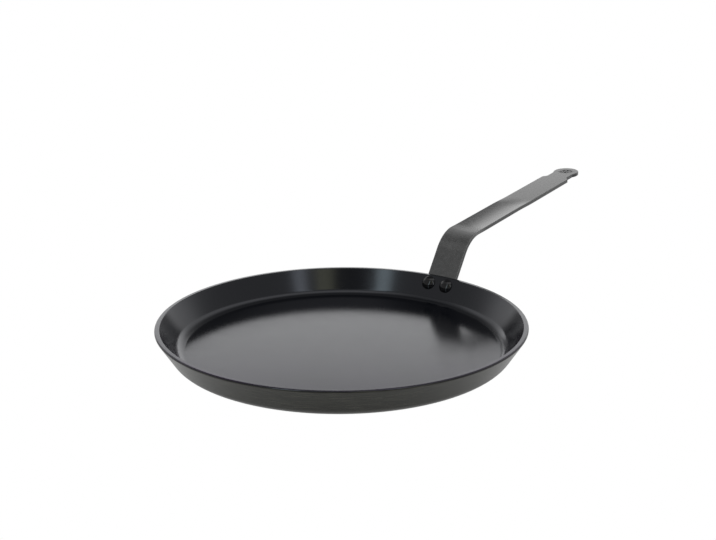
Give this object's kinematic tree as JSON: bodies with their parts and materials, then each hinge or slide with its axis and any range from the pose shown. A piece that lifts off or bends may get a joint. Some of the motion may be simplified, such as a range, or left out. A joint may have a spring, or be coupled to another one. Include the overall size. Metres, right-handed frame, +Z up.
{
  "type": "crepe pan",
  "caption": "Shallow round crepe pan of dark sheet steel with a low flared wall and a long bent flat-bar handle, riveted on and ending in a hanging eye.",
  "frame": {"origin": "centre of the face that the pan stands on", "axes": "+Z up out of the pan, +X from the pan's axis out along the handle, +Y to the left of the handle"},
  "size_m": [0.484, 0.26, 0.0736],
  "materials": {
    "pan_steel": "satin blue-black oxide on carbon steel",
    "handle_steel": "dull dark grey coating on a steel bar",
    "rivet_steel": "glossy black"
  },
  "bodies": {
    "root": {"pan_body": "pan_steel", "handle": "handle_steel", "left_rivet": "rivet_steel", "right_rivet": "rivet_steel"}
  },
  "joints": []
}
